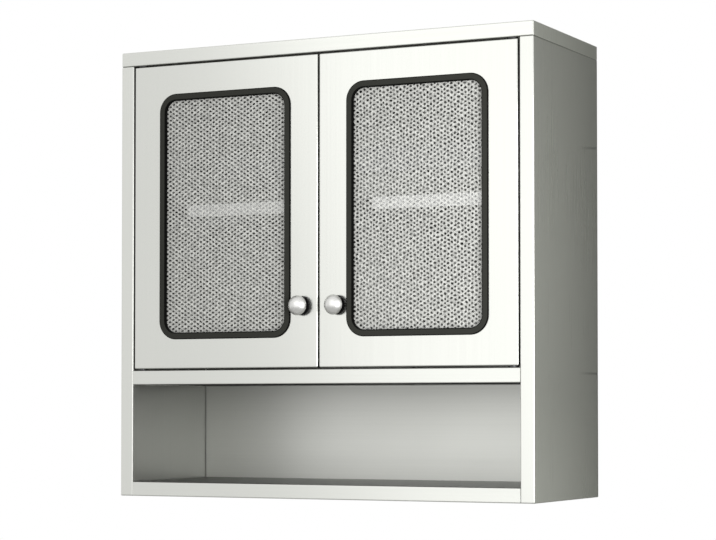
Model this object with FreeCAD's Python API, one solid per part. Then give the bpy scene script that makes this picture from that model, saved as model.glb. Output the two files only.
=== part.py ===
import FreeCAD
import Part
import math
import os

# Wall cabinet folded from brushed stainless sheet: an open niche at the foot, and above it a
# cupboard with one shelf behind two inset doors. Each door is a hollow pan with a patterned
# glass window in a black rubber gasket, and it turns on two pivot pins in nylon bushes.
# Frame: +X to the viewer's right, -Y out of the wall towards the viewer, +Z up.
# Origin: the middle of the four wall holes, on the wall plane. Millimetres.

V = FreeCAD.Vector
AXIS_X, AXIS_Y, AXIS_Z = V(1, 0, 0), V(0, 1, 0), V(0, 0, 1)

# Carcass
WIDTH = 600.0
HEIGHT = 600.0
DEPTH = 230.0                # wall plane to the front of the stiles
SHEET = 0.8                  # stainless sheet of the carcass and the doors
BEND_INSIDE = 0.7            # inside radius of every bend
FACE = 19.0                  # seen width of stiles, rails and top edge
STILE_RETURN = 14.0          # lip folded back along the inner edge of stiles and rails
HEADER_MARGIN = 8.0          # lip over the doors, behind the catch that hangs from it
NICHE_HEIGHT = 130.5         # clear height of the open niche
BACK_SHEET = 0.8             # flat back panel
BACK_INSET = 1.0             # back panel's edge inside the outline of the carcass
DECK_REAR_LIP = 12.0         # lip folded forwards under the deck's rear edge
DECK_LINER_LAP = 10.0        # liner on the lip behind the middle rail
SEAT_GAP = 0.2               # assembly room between a panel and the fold it sits in
PRESS_GAP = 0.02             # line-to-line seat of pins, bushes and screws

# Weld creases pressed into each side panel at its rear edge
CREASE_LENGTH = 65.0
CREASE_DEPTH = 0.5           # at the rear edge
CREASE_WIDTH = 3.2           # at the rear edge
CREASE_BELOW_DECK = 5.0

# Wall bars and the holes that hang the cabinet
UPPER_BAR_DROP = 136.0       # middle of the upper bar below the top
LOWER_BAR_RISE = 45.5        # middle of the lower bar above the deck
WALL_HOLE_INSET = 131.0      # holes from the ends of the bars
WALL_HOLE_RADIUS = 4.0
BAR_SHEET = 1.5
BAR_FACE = 36.0
BAR_FLANGE = 10.0

# Inner shelf
SHELF_RISE = 224.3           # top of the shelf above the deck
SHELF_SETBACK = 29.0         # shelf's front edge behind the front of the stiles
SHELF_LIP = 18.0
SHELF_RETURN = 12.0
SHELF_REAR_GAP = 4.0         # shelf's rear edge in front of the wall bars
RAIL_LEG = 15.0
RAIL_END_GAP = 6.0           # rail's ends short of the shelf's front and rear folds

# Doors
DOOR_GAP = 2.4               # shadow gap round each door
DOOR_THICK = 16.0
DOOR_RETURN = 12.0           # lip folded inwards round the rear of the door pan
LINER_INSET = 1.5            # liner's edge inside the door's outline

# Door pivots
PIVOT_FROM_EDGE = 9.0        # pivot axis from the door's hinge edge
PIVOT_FROM_FRONT = 7.0       # pivot axis behind the door's front
PIN_RADIUS = 3.0
PIN_REACH = 5.0              # pin beyond the sheet that its bush sits in
PIN_CHAMFER = 0.8
PIN_RUN = 0.05               # running clearance of pin in bush
BUSH_WALL = 1.6
BUSH_FLANGE_WIDTH = 1.6
BUSH_RUN = 0.4               # end play between bush flange and door
BLOCK_WIDTH = 15.0
BLOCK_HEIGHT = 26.0

# Door window
WINDOW_MARGIN_X = 39.5       # gasket's outer edge from the door's side edges
WINDOW_MARGIN_Z = 39.0       # gasket's outer edge from the door's top and lower edges
GASKET_CORNER = 25.0         # outer corner radius
GASKET_FACE = 9.0            # seen width of the front lip
GASKET_PROUD = 2.5           # front lip in front of the door
GASKET_CROWN = 0.8           # rounding of the front lip, as a share of its height
GASKET_WEB = 1.0             # rubber round the edge of the glass
GASKET_REAR = 2.0            # rear lip behind the liner
GLASS_DEPTH = 3.5            # glass behind the door's front
GLASS_THICK = 5.0
GLASS_BITE = 2.8             # pane's edge held in the gasket's groove

# Knobs
KNOB_INSET = 24.8            # knob's axis from the door's free edge
KNOB_RISE = 80.5             # knob's axis above the door's lower edge
KNOB_RADIUS = 13.0
KNOB_FOOT_RADIUS = 12.4
KNOB_FOOT = 1.2              # straight edge of the foot
KNOB_NECK_RADIUS = 11.8
KNOB_NECK_AT = 3.5           # narrowest place in front of the door
KNOB_RIM_AT = 9.5            # widest place in front of the door
KNOB_LENGTH = 18.5
SCREW_RADIUS = 2.0
SCREW_BITE = 11.0            # knob screw's length in the knob
SCREW_TIP_ROOM = 2.0         # bore beyond the screw's tip
SCREW_HEAD_RADIUS = 3.8
SCREW_HEAD = 2.4
SCREW_HEAD_ROUND = 0.6       # rounding of the head, as a share of its height
SPACER_RADIUS = 5.5

# Magnetic catch and strike plates
STRIKE_WIDTH = 22.0
STRIKE_HEIGHT = 15.0
STRIKE_THICK = 1.2
STRIKE_FROM_EDGE = 5.0       # plate's side from the door's free edge
STRIKE_FROM_TOP = 2.0        # plate's top below the door's top edge
STRIKE_SCREW_RADIUS = 1.4
STRIKE_SCREW_LENGTH = 6.0
CATCH_GAP = 0.4              # magnets behind the closed strike plates
CATCH_WALL = 2.0             # plastic below and beside the magnets
CATCH_DEPTH = 14.0
CATCH_EAR = 9.0
CATCH_EAR_THICK = 2.5
MAGNET_WIDTH = 17.0
MAGNET_DEPTH = 9.0
MAGNET_HEIGHT = 8.0
MAGNET_SPACING = 6.0         # between the two magnets
MAGNET_PROUD = 0.4
CATCH_SCREW_RADIUS = 1.5
CATCH_SCREW_HEAD_RADIUS = 3.0
CATCH_SCREW_HEAD = 1.8
CATCH_SCREW_LENGTH = 8.0

# Cross recess of every screw head
RECESS_WIDTH = 0.9
RECESS_SPAN = 0.62           # as a share of the head's width
RECESS_DEPTH = 0.6           # as a share of the head's height

# Planes of the carcass
BEND = BEND_INSIDE + SHEET
WALL_HOLE_SPAN_Z = HEIGHT - UPPER_BAR_DROP - (2 * FACE + NICHE_HEIGHT + LOWER_BAR_RISE)
X_OUT = WIDTH / 2
X_WEB = X_OUT - SHEET                    # inner face of the side panel's web
X_IN = X_OUT - FACE                      # inner edge of the stiles
Y_FRONT = -DEPTH
Y_FRAME = -BACK_SHEET                    # rear flanges, which carry the back panel
Y_REAR = Y_FRAME - SHEET                 # front of the rear flanges
Y_SHELF = Y_FRONT + SHELF_SETBACK
Y_SHELF_REAR = Y_FRAME - BAR_FLANGE - SHELF_REAR_GAP
Z_TOP = WALL_HOLE_SPAN_Z / 2 + UPPER_BAR_DROP
Z_BASE = Z_TOP - HEIGHT
Z_FLOOR = Z_BASE + FACE                  # floor of the niche
Z_DECK = Z_FLOOR + NICHE_HEIGHT + FACE   # floor of the cupboard
Z_HEADER = Z_TOP - FACE
Z_SHELF = Z_DECK + SHELF_RISE
WALL_HOLE_X = X_IN - WALL_HOLE_INSET

# Planes of the right door
DOOR_X0 = DOOR_GAP / 2                   # free edge
DOOR_X1 = X_IN - DOOR_GAP                # hinge edge
DOOR_Z0 = Z_DECK + DOOR_GAP
DOOR_Z1 = Z_HEADER - DOOR_GAP
Y_DOOR_BACK = Y_FRONT + DOOR_THICK
Y_LINER = Y_DOOR_BACK - SHEET
PIVOT_X = DOOR_X1 - PIVOT_FROM_EDGE
PIVOT_Y = Y_FRONT + PIVOT_FROM_FRONT
BUSH_RADIUS = PIN_RADIUS + PIN_RUN + BUSH_WALL
BUSH_FLANGE = DOOR_GAP - BUSH_RUN
GASKET_WALL = GLASS_BITE + SEAT_GAP + GASKET_WEB
KNOB_X = DOOR_X0 + KNOB_INSET
KNOB_Z = DOOR_Z0 + KNOB_RISE
X_STRIKE = DOOR_X0 + STRIKE_FROM_EDGE + STRIKE_WIDTH / 2
Z_STRIKE = DOOR_Z1 - STRIKE_FROM_TOP - STRIKE_HEIGHT / 2

# Planes of the catch
Y_CATCH = Y_DOOR_BACK + STRIKE_THICK + CATCH_GAP
Y_CATCH_REAR = Y_CATCH + CATCH_DEPTH
Z_CATCH = Z_STRIKE - MAGNET_HEIGHT / 2 - CATCH_WALL
X_CATCH = MAGNET_SPACING / 2 + MAGNET_WIDTH + CATCH_WALL
CATCH_SCREW_X = X_CATCH + CATCH_EAR / 2
CATCH_SCREW_Y = Y_CATCH + CATCH_DEPTH / 2
Y_HEADER_LIP = Y_CATCH_REAR + HEADER_MARGIN


def box(x0, x1, y0, y1, z0, z1):
    return Part.makeBox(x1 - x0, y1 - y0, z1 - z0, V(x0, y0, z0))


def rounded_box(x0, x1, y0, y1, z0, z1, radius):
    solid = box(x0, x1, y0, y1, z0, z1)
    return solid.makeFillet(radius, solid.Edges)


def folded_box(x0, x1, y0, y1, z0, z1):
    """Hollow sheet box, bent along every edge. A panel is one of these with its open sides cut away."""
    outside = rounded_box(x0, x1, y0, y1, z0, z1, BEND)
    inside = rounded_box(
        x0 + SHEET, x1 - SHEET, y0 + SHEET, y1 - SHEET, z0 + SHEET, z1 - SHEET, BEND_INSIDE)
    return outside.cut(inside)


def rounded_face(corners, radii):
    """Flat face through the corner points, each corner rounded by its own radius, or sharp at zero."""
    edges = []
    ends = []
    count = len(corners)
    for i, (point, radius) in enumerate(zip(corners, radii)):
        if radius <= 0:
            ends.append((point, point))
            continue
        back = (corners[i - 1] - point).normalize()
        ahead = (corners[(i + 1) % count] - point).normalize()
        half = back.getAngle(ahead) / 2
        middle = (back + ahead).normalize()
        centre = point + middle * (radius / math.sin(half))
        start = point + back * (radius / math.tan(half))
        end = point + ahead * (radius / math.tan(half))
        edges.append(Part.Arc(start, centre - middle * radius, end).toShape())
        ends.append((start, end))
    for i, (_, end) in enumerate(ends):
        start = ends[(i + 1) % count][0]
        edges.append(Part.LineSegment(end, start).toShape())
    return Part.Face(Part.Wire(Part.__sortEdges__(edges)))


def folded_strip(path, along, sheet):
    """Sheet bent along a path of outside corners, as long as the vector along, and lying left of the path."""
    normal = V(along).normalize()
    steps = [(b - a).normalize() for a, b in zip(path, path[1:])]
    lefts = [normal.cross(step) for step in steps]
    outer, inner = [path[0]], [path[0] + lefts[0] * sheet]
    outer_radii, inner_radii = [0.0], [0.0]
    for i, point in enumerate(path[1:-1]):
        outer.append(point)
        inner.append(point + (lefts[i] + lefts[i + 1]) * (sheet / (1 + lefts[i].dot(lefts[i + 1]))))
        turns_left = lefts[i].dot(steps[i + 1]) > 0
        outer_radii.append(BEND_INSIDE + (sheet if turns_left else 0.0))
        inner_radii.append(BEND_INSIDE + (0.0 if turns_left else sheet))
    outer.append(path[-1])
    inner.append(path[-1] + lefts[-1] * sheet)
    outer_radii.append(0.0)
    inner_radii.append(0.0)
    face = rounded_face(outer + inner[::-1], outer_radii + inner_radii[::-1])
    return face.extrude(along)


def rounded_prism(x0, x1, z0, z1, radius, y0, y1):
    """Upright slab from y0 to y1 with rounded corners, as a window's cut-out, gasket or pane."""
    corners = [V(x0, y0, z0), V(x1, y0, z0), V(x1, y0, z1), V(x0, y0, z1)]
    return rounded_face(corners, [radius] * 4).extrude(AXIS_Y * (y1 - y0))


def rod(radius, start, end):
    span = end - start
    return Part.makeCylinder(radius, span.Length, start, span)


def cross_recess(face, inwards, head_radius, head_height):
    """Two crossed slots, to be cut into a screw head from the middle of its face."""
    span = 2 * head_radius * RECESS_SPAN
    slot = Part.makeBox(
        span, RECESS_WIDTH, head_height * RECESS_DEPTH, V(-span / 2, -RECESS_WIDTH / 2, 0))
    cross = slot.fuse(slot.rotated(V(0, 0, 0), AXIS_Z, 90))
    cross.Placement = FreeCAD.Placement(face, FreeCAD.Rotation(AXIS_Z, inwards))
    return cross


def mirrored(shape):
    return shape.mirror(V(0, 0, 0), AXIS_X)


# Side panel: a web with a stile folded round its front edge, and flanges at top, foot and rear


def weld_crease(z):
    """Wedge to be cut from the side panel's face, deepest at the rear edge and fading out forwards."""
    mouth = [
        V(X_OUT - CREASE_DEPTH, Y_FRAME, z),
        V(X_OUT + CREASE_DEPTH, Y_FRAME, z + CREASE_WIDTH),
        V(X_OUT + CREASE_DEPTH, Y_FRAME, z - CREASE_WIDTH)]
    profile = Part.Face(Part.makePolygon(mouth + mouth[:1]))
    return profile.extrude(V(CREASE_DEPTH, -CREASE_LENGTH, 0))


def right_side_panel():
    panel = folded_box(X_IN, X_OUT, Y_FRONT, Y_FRAME, Z_BASE, Z_HEADER)
    panel = panel.cut(box(
        X_IN - SHEET, X_IN + BEND, Y_FRONT + STILE_RETURN, Y_REAR, Z_BASE + SHEET, Z_HEADER - SHEET))
    for z in (WALL_HOLE_SPAN_Z / 2, Z_DECK - CREASE_BELOW_DECK):
        panel = panel.cut(weld_crease(z))
    return panel


# Top panel: a shallow box with a wide lip over the doors for the upper pivots and the catch


def top_panel():
    panel = folded_box(-X_OUT, X_OUT, Y_FRONT, Y_FRAME, Z_HEADER, Z_TOP)
    panel = panel.cut(box(
        -X_IN, X_IN, Y_HEADER_LIP, Y_FRAME - FACE, Z_HEADER - SHEET, Z_HEADER + BEND))
    for side in (-1, 1):
        holes = (
            (BUSH_RADIUS, V(side * PIVOT_X, PIVOT_Y, Z_HEADER)),
            (CATCH_SCREW_RADIUS, V(side * CATCH_SCREW_X, CATCH_SCREW_Y, Z_HEADER)))
        for radius, place in holes:
            panel = panel.cut(rod(radius + PRESS_GAP, place - AXIS_Z * BEND, place + AXIS_Z * BEND))
    return panel


# Deck, the liner under it, and niche floor. Both pans are notched round the stiles, with a rail at the front


def notched_pan(z_top, rear_lip):
    z_foot = z_top - FACE
    pan = folded_box(-X_WEB, X_WEB, Y_FRONT, Y_REAR, z_foot, z_top)
    pan = pan.cut(box(
        -X_WEB + SHEET, X_WEB - SHEET, Y_FRONT + STILE_RETURN, Y_REAR - rear_lip,
        z_foot - SHEET, z_foot + BEND))
    for side in (-1, 1):
        stile = sorted((side * X_IN, side * X_OUT))
        pan = pan.cut(box(*stile, Y_FRONT, Y_FRONT + STILE_RETURN + SEAT_GAP, z_foot, z_top))
    return pan


def deck_panel():
    panel = notched_pan(Z_DECK, DECK_REAR_LIP)
    for side in (-1, 1):
        place = V(side * PIVOT_X, PIVOT_Y, Z_DECK)
        panel = panel.cut(rod(BUSH_RADIUS + PRESS_GAP, place - AXIS_Z * BEND, place + AXIS_Z * BEND))
    return panel


def deck_liner():
    """Flat sheet laid on the deck's front and rear lips, which makes the ceiling of the niche."""
    x_end = X_WEB - SHEET - BEND_INSIDE - SEAT_GAP
    y_rear = Y_REAR - SHEET - BEND_INSIDE - SEAT_GAP
    z_lip = Z_DECK - FACE + SHEET
    liner = box(
        -x_end, x_end, Y_FRONT + STILE_RETURN - DECK_LINER_LAP, y_rear, z_lip, z_lip + SHEET)
    for side in (-1, 1):
        stile = sorted((side * (X_IN - SEAT_GAP), side * X_OUT))
        liner = liner.cut(box(
            *stile, Y_FRONT, Y_FRONT + STILE_RETURN + 2 * SEAT_GAP, z_lip - SHEET, z_lip + BEND))
    return liner


def niche_floor_panel():
    """Its side flanges stop above the bend at the foot of the side panels."""
    panel = notched_pan(Z_FLOOR, SHEET)
    for side in (-1, 1):
        flange = sorted((side * X_IN, side * X_OUT))
        panel = panel.cut(box(*flange, Y_FRONT, Y_FRAME, Z_BASE - SHEET, Z_BASE + BEND))
    return panel


# Back panel and wall bars, drilled together for the four wall screws, and the lining of the niche


def drill_wall_holes(panel):
    for x in (-WALL_HOLE_X, WALL_HOLE_X):
        for z in (-WALL_HOLE_SPAN_Z / 2, WALL_HOLE_SPAN_Z / 2):
            panel = panel.cut(rod(WALL_HOLE_RADIUS, V(x, -BAR_FLANGE, z), V(x, BACK_SHEET, z)))
    return panel


def back_panel():
    return drill_wall_holes(box(
        -X_OUT + BACK_INSET, X_OUT - BACK_INSET, Y_FRAME, 0, Z_BASE + BACK_INSET, Z_TOP - BACK_INSET))


def niche_back_panel():
    """Flat sheet welded to the front of the rear flanges, so that they don't show in the niche."""
    x_end = X_WEB - BEND_INSIDE - SEAT_GAP
    return box(
        -x_end, x_end, Y_REAR - SHEET, Y_REAR, Z_FLOOR + SEAT_GAP, Z_DECK - FACE - SEAT_GAP)


def wall_bar(z_middle):
    z_low, z_high = z_middle - BAR_FACE / 2, z_middle + BAR_FACE / 2
    y_lip = Y_FRAME - BAR_FLANGE
    path = [V(-X_IN, y, z) for y, z in (
        (y_lip, z_low), (Y_FRAME, z_low), (Y_FRAME, z_high), (y_lip, z_high))]
    return drill_wall_holes(folded_strip(path, AXIS_X * (2 * X_IN), BAR_SHEET))


# Inner shelf: front edge folded down and back, rear edge folded down, laid on two angle rails


def inner_shelf():
    x_end = X_WEB - SEAT_GAP
    z_lip = Z_SHELF - SHELF_LIP
    path = [V(-x_end, y, z) for y, z in (
        (Y_SHELF_REAR, Z_SHELF - SHELF_RETURN), (Y_SHELF_REAR, Z_SHELF), (Y_SHELF, Z_SHELF),
        (Y_SHELF, z_lip), (Y_SHELF + SHELF_RETURN, z_lip))]
    return folded_strip(path, AXIS_X * (2 * x_end), SHEET)


def right_shelf_rail():
    y_front = Y_SHELF + SHELF_RETURN + RAIL_END_GAP
    y_rear = Y_SHELF_REAR - RAIL_END_GAP
    z_seat = Z_SHELF - SHEET
    path = [V(x, y_front, z) for x, z in (
        (X_WEB - RAIL_LEG, z_seat), (X_WEB, z_seat), (X_WEB, z_seat - RAIL_LEG))]
    return folded_strip(path, AXIS_Y * (y_rear - y_front), SHEET)


# Pivots: nylon bushes in the header lip and the deck, steel pins and blocks in the door


def right_pivot_bush(z_seat, up):
    """Flanged bush whose sleeve passes through the sheet at z_seat, upwards for up = 1 or down for -1."""
    seat = V(PIVOT_X, PIVOT_Y, z_seat)
    sleeve_end = seat + AXIS_Z * (up * (SHEET + PIN_REACH))
    face = seat - AXIS_Z * (up * BUSH_FLANGE)
    bush = rod(BUSH_RADIUS, face, sleeve_end)
    bush = bush.fuse(rod(BUSH_RADIUS + BUSH_FLANGE_WIDTH, face, seat))
    return bush.cut(rod(PIN_RADIUS + PIN_RUN, face, sleeve_end)).removeSplitter()


def right_pivot_pins():
    axis = V(PIVOT_X, PIVOT_Y, 0)
    pins = []
    for z_edge, z_seat, up in ((DOOR_Z1, Z_HEADER, 1), (DOOR_Z0, Z_DECK, -1)):
        inner_end = axis + AXIS_Z * (z_edge - up * (SHEET + BLOCK_HEIGHT))
        outer_end = axis + AXIS_Z * (z_seat + up * (SHEET + PIN_REACH))
        pin = rod(PIN_RADIUS, inner_end, outer_end)
        rims = [e for e in pin.Edges if e.Closed and abs(e.CenterOfMass.z - outer_end.z) < PIN_RADIUS]
        pins.append(pin.makeChamfer(PIN_CHAMFER, rims))
    return Part.makeCompound(pins)


def right_pivot_blocks():
    """Blocks welded inside the hinge corners of the pan, clear of its bends and of its rear lip."""
    x1 = DOOR_X1 - SHEET - BEND_INSIDE
    y0 = Y_FRONT + SHEET + BEND_INSIDE
    y1 = Y_LINER - SHEET - BEND_INSIDE
    blocks = []
    for z_edge, up in ((DOOR_Z1, 1), (DOOR_Z0, -1)):
        z_ends = sorted((z_edge - up * SHEET, z_edge - up * (SHEET + BLOCK_HEIGHT)))
        block = box(x1 - BLOCK_WIDTH, x1, y0, y1, *z_ends)
        uprights = [e for e in block.Edges if e.BoundBox.ZLength > BLOCK_HEIGHT / 2]
        block = block.makeFillet(BEND, uprights)
        bore = [V(PIVOT_X, PIVOT_Y, z) for z in z_ends]
        blocks.append(block.cut(rod(PIN_RADIUS + PRESS_GAP, *bore)))
    return Part.makeCompound(blocks)


# Right door: a folded pan and a flat liner, both cut out for the window gasket


def window(grow, y0, y1):
    """Slab of the window's outline, grown outwards from the inner edge of the gasket's lip."""
    inset = GASKET_FACE - grow
    return rounded_prism(
        DOOR_X0 + WINDOW_MARGIN_X + inset, DOOR_X1 - WINDOW_MARGIN_X - inset,
        DOOR_Z0 + WINDOW_MARGIN_Z + inset, DOOR_Z1 - WINDOW_MARGIN_Z - inset,
        GASKET_CORNER - inset, y0, y1)


def right_door_pan():
    pan = folded_box(DOOR_X0, DOOR_X1, Y_FRONT, Y_LINER, DOOR_Z0, DOOR_Z1)
    pan = pan.cut(box(
        DOOR_X0 + DOOR_RETURN, DOOR_X1 - DOOR_RETURN, Y_LINER - BEND, Y_LINER + SHEET,
        DOOR_Z0 + DOOR_RETURN, DOOR_Z1 - DOOR_RETURN))
    pan = pan.cut(window(GASKET_WALL + SEAT_GAP, Y_FRONT - SHEET, Y_FRONT + BEND))
    pin_ends = [V(PIVOT_X, PIVOT_Y, z) for z in (DOOR_Z0 - BEND, DOOR_Z1 + BEND)]
    pan = pan.cut(rod(PIN_RADIUS + SEAT_GAP, *pin_ends))
    knob_ends = [V(KNOB_X, y, KNOB_Z) for y in (Y_FRONT - BEND, Y_FRONT + BEND)]
    pan = pan.cut(rod(SCREW_RADIUS + SEAT_GAP, *knob_ends))
    strike_ends = [V(X_STRIKE, y, Z_STRIKE) for y in (Y_LINER - BEND, Y_LINER + BEND)]
    return pan.cut(rod(STRIKE_SCREW_RADIUS + SEAT_GAP, *strike_ends))


def right_door_liner():
    liner = box(
        DOOR_X0 + LINER_INSET, DOOR_X1 - LINER_INSET, Y_LINER, Y_DOOR_BACK,
        DOOR_Z0 + LINER_INSET, DOOR_Z1 - LINER_INSET)
    liner = liner.cut(window(GASKET_WALL + SEAT_GAP, Y_LINER - SHEET, Y_DOOR_BACK + SHEET))
    holes = ((SCREW_RADIUS, KNOB_X, KNOB_Z), (STRIKE_SCREW_RADIUS, X_STRIKE, Z_STRIKE))
    for radius, x, z in holes:
        ends = [V(x, y, z) for y in (Y_LINER - SHEET, Y_DOOR_BACK + SHEET)]
        liner = liner.cut(rod(radius + SEAT_GAP, *ends))
    return liner


def right_window_gasket():
    """Rubber ring: domed front lip on the pan, wall through the cut-outs, groove for the glass, rear lip."""
    y_crown = Y_FRONT - GASKET_PROUD
    y_back = Y_DOOR_BACK + GASKET_REAR
    y_glass = Y_FRONT + GLASS_DEPTH
    lip = window(GASKET_FACE, y_crown, Y_FRONT).cut(window(0, y_crown, Y_FRONT))
    rims = [e for e in lip.Edges if e.BoundBox.YMax < Y_FRONT - GASKET_PROUD / 2]
    lip = lip.makeFillet(GASKET_PROUD * GASKET_CROWN, rims)
    wall = window(GASKET_WALL, Y_FRONT, Y_DOOR_BACK).cut(window(0, Y_FRONT, Y_DOOR_BACK))
    rear = window(GASKET_FACE, Y_DOOR_BACK, y_back).cut(window(0, Y_DOOR_BACK, y_back))
    groove = window(GLASS_BITE + SEAT_GAP, y_glass, y_glass + GLASS_THICK)
    return lip.fuse([wall, rear]).removeSplitter().cut(groove)


def right_window_glass():
    y_glass = Y_FRONT + GLASS_DEPTH
    return window(GLASS_BITE, y_glass, y_glass + GLASS_THICK)


# Knob turned from stainless bar, and the screw and spacer that hold it


def right_knob():
    """Foot, slight neck, steep flank and domed front, turned about the knob's axis."""
    def at(radius, reach):
        return V(KNOB_X + radius, Y_FRONT - reach, KNOB_Z)

    dome_rise = KNOB_LENGTH - KNOB_RIM_AT
    dome_radius = (KNOB_RADIUS ** 2 + dome_rise ** 2) / (2 * dome_rise)
    half = math.asin(KNOB_RADIUS / dome_radius) / 2
    dome_middle = at(dome_radius * math.sin(half), KNOB_LENGTH - dome_radius * (1 - math.cos(half)))
    centre, foot, foot_top = at(0, 0), at(KNOB_FOOT_RADIUS, 0), at(KNOB_FOOT_RADIUS, KNOB_FOOT)
    neck, rim, front = at(KNOB_NECK_RADIUS, KNOB_NECK_AT), at(KNOB_RADIUS, KNOB_RIM_AT), at(0, KNOB_LENGTH)
    profile = Part.Wire([
        Part.LineSegment(centre, foot).toShape(),
        Part.LineSegment(foot, foot_top).toShape(),
        Part.LineSegment(foot_top, neck).toShape(),
        Part.LineSegment(neck, rim).toShape(),
        Part.Arc(rim, dome_middle, front).toShape(),
        Part.LineSegment(front, centre).toShape()])
    knob = Part.Face(profile).revolve(centre, AXIS_Y, 360)
    return knob.cut(rod(SCREW_RADIUS + PRESS_GAP, centre, centre - AXIS_Y * (SCREW_BITE + SCREW_TIP_ROOM)))


def right_knob_screw():
    seat = V(KNOB_X, Y_DOOR_BACK, KNOB_Z)
    head = rod(SCREW_HEAD_RADIUS, seat, seat + AXIS_Y * SCREW_HEAD)
    rims = [e for e in head.Edges if e.BoundBox.YMin > Y_DOOR_BACK + SCREW_HEAD / 2]
    head = head.makeFillet(SCREW_HEAD * SCREW_HEAD_ROUND, rims)
    tip = V(KNOB_X, Y_FRONT - SCREW_BITE, KNOB_Z)
    screw = head.fuse(rod(SCREW_RADIUS, tip, seat)).removeSplitter()
    return screw.cut(cross_recess(seat + AXIS_Y * SCREW_HEAD, -AXIS_Y, SCREW_HEAD_RADIUS, SCREW_HEAD))


def right_knob_spacer():
    ends = [V(KNOB_X, y, KNOB_Z) for y in (Y_FRONT + SHEET, Y_LINER)]
    return rod(SPACER_RADIUS, *ends).cut(rod(SCREW_RADIUS + SEAT_GAP, *ends))


# Catch under the header lip, and the strike plate at the free top corner of each door


def magnet(side, y_face):
    x_ends = sorted((side * MAGNET_SPACING / 2, side * (MAGNET_SPACING / 2 + MAGNET_WIDTH)))
    z_low = Z_STRIKE - MAGNET_HEIGHT / 2
    return box(*x_ends, y_face, Y_CATCH + MAGNET_DEPTH, z_low, z_low + MAGNET_HEIGHT)


def catch_body():
    y_face = Y_CATCH + MAGNET_PROUD
    body = box(-X_CATCH, X_CATCH, y_face, Y_CATCH_REAR, Z_CATCH, Z_HEADER)
    rims = [e for e in body.Edges if e.BoundBox.ZMax < Z_HEADER - CATCH_EAR_THICK]
    body = body.makeFillet(CATCH_WALL / 2, rims)
    x_ear = X_CATCH + CATCH_EAR
    ears = box(-x_ear, x_ear, y_face, Y_CATCH_REAR, Z_HEADER - CATCH_EAR_THICK, Z_HEADER)
    body = body.fuse(ears).removeSplitter()
    for side in (-1, 1):
        screw_ends = [V(side * CATCH_SCREW_X, CATCH_SCREW_Y, z) for z in (Z_CATCH, Z_HEADER)]
        body = body.cut(magnet(side, y_face)).cut(rod(CATCH_SCREW_RADIUS + PRESS_GAP, *screw_ends))
    return body


def catch_magnets():
    return Part.makeCompound([magnet(side, Y_CATCH) for side in (-1, 1)])


def catch_screws():
    screws = []
    for side in (-1, 1):
        seat = V(side * CATCH_SCREW_X, CATCH_SCREW_Y, Z_HEADER - CATCH_EAR_THICK)
        face = seat - AXIS_Z * CATCH_SCREW_HEAD
        shank = rod(CATCH_SCREW_RADIUS, seat, seat + AXIS_Z * CATCH_SCREW_LENGTH)
        screw = rod(CATCH_SCREW_HEAD_RADIUS, face, seat).fuse(shank).removeSplitter()
        screws.append(screw.cut(cross_recess(face, AXIS_Z, CATCH_SCREW_HEAD_RADIUS, CATCH_SCREW_HEAD)))
    return Part.makeCompound(screws)


def strike_screw_shape(clearance):
    """Countersunk screw, flush with the rear of the strike plate. Grown by a clearance, it cuts the hole."""
    face = V(X_STRIKE, Y_DOOR_BACK + STRIKE_THICK, Z_STRIKE)
    shank_radius = STRIKE_SCREW_RADIUS + clearance
    shank = rod(shank_radius, face - AXIS_Y * STRIKE_SCREW_LENGTH, face)
    head = Part.makeCone(shank_radius + STRIKE_THICK, shank_radius, STRIKE_THICK, face, -AXIS_Y)
    return shank.fuse(head).removeSplitter()


def right_strike_screw():
    face = V(X_STRIKE, Y_DOOR_BACK + STRIKE_THICK, Z_STRIKE)
    head_radius = STRIKE_SCREW_RADIUS + STRIKE_THICK
    return strike_screw_shape(0).cut(cross_recess(face, -AXIS_Y, head_radius, STRIKE_THICK))


def right_strike_plate():
    plate = box(
        X_STRIKE - STRIKE_WIDTH / 2, X_STRIKE + STRIKE_WIDTH / 2, Y_DOOR_BACK, Y_DOOR_BACK + STRIKE_THICK,
        Z_STRIKE - STRIKE_HEIGHT / 2, Z_STRIKE + STRIKE_HEIGHT / 2)
    return plate.cut(strike_screw_shape(PRESS_GAP))


# Every piece under its node name. What is drawn for the right side is mirrored for the left.


def both_sides(right_shape):
    return Part.makeCompound([right_shape, mirrored(right_shape)])


def all_nodes():
    nodes = {
        "top_panel": top_panel(),
        "deck_panel": deck_panel(),
        "deck_liner": deck_liner(),
        "niche_floor_panel": niche_floor_panel(),
        "back_panel": back_panel(),
        "niche_back_panel": niche_back_panel(),
        "upper_wall_bar": wall_bar(WALL_HOLE_SPAN_Z / 2),
        "lower_wall_bar": wall_bar(-WALL_HOLE_SPAN_Z / 2),
        "inner_shelf": inner_shelf(),
        "upper_pivot_bushes": both_sides(right_pivot_bush(Z_HEADER, 1)),
        "lower_pivot_bushes": both_sides(right_pivot_bush(Z_DECK, -1)),
        "catch_body": catch_body(),
        "catch_magnets": catch_magnets(),
        "catch_screws": catch_screws(),
    }
    right_pieces = {
        "side_panel": right_side_panel(),
        "shelf_rail": right_shelf_rail(),
        "door_pan": right_door_pan(),
        "door_liner": right_door_liner(),
        "window_gasket": right_window_gasket(),
        "window_glass": right_window_glass(),
        "knob": right_knob(),
        "knob_screw": right_knob_screw(),
        "knob_spacer": right_knob_spacer(),
        "pivot_pins": right_pivot_pins(),
        "pivot_blocks": right_pivot_blocks(),
        "strike_plate": right_strike_plate(),
        "strike_screw": right_strike_screw(),
    }
    for name, shape in right_pieces.items():
        nodes["right_" + name] = shape
        nodes["left_" + name] = mirrored(shape)
    return nodes


def main():
    os.makedirs("parts", exist_ok=True)
    for name, shape in all_nodes().items():
        shape.exportStep(os.path.join("parts", name + ".step"))
        print(f"{name}: {len(shape.Solids)} solids, {shape.Volume:.0f} mm3, valid {shape.isValid()}")


main()
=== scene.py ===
import math
import random

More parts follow.
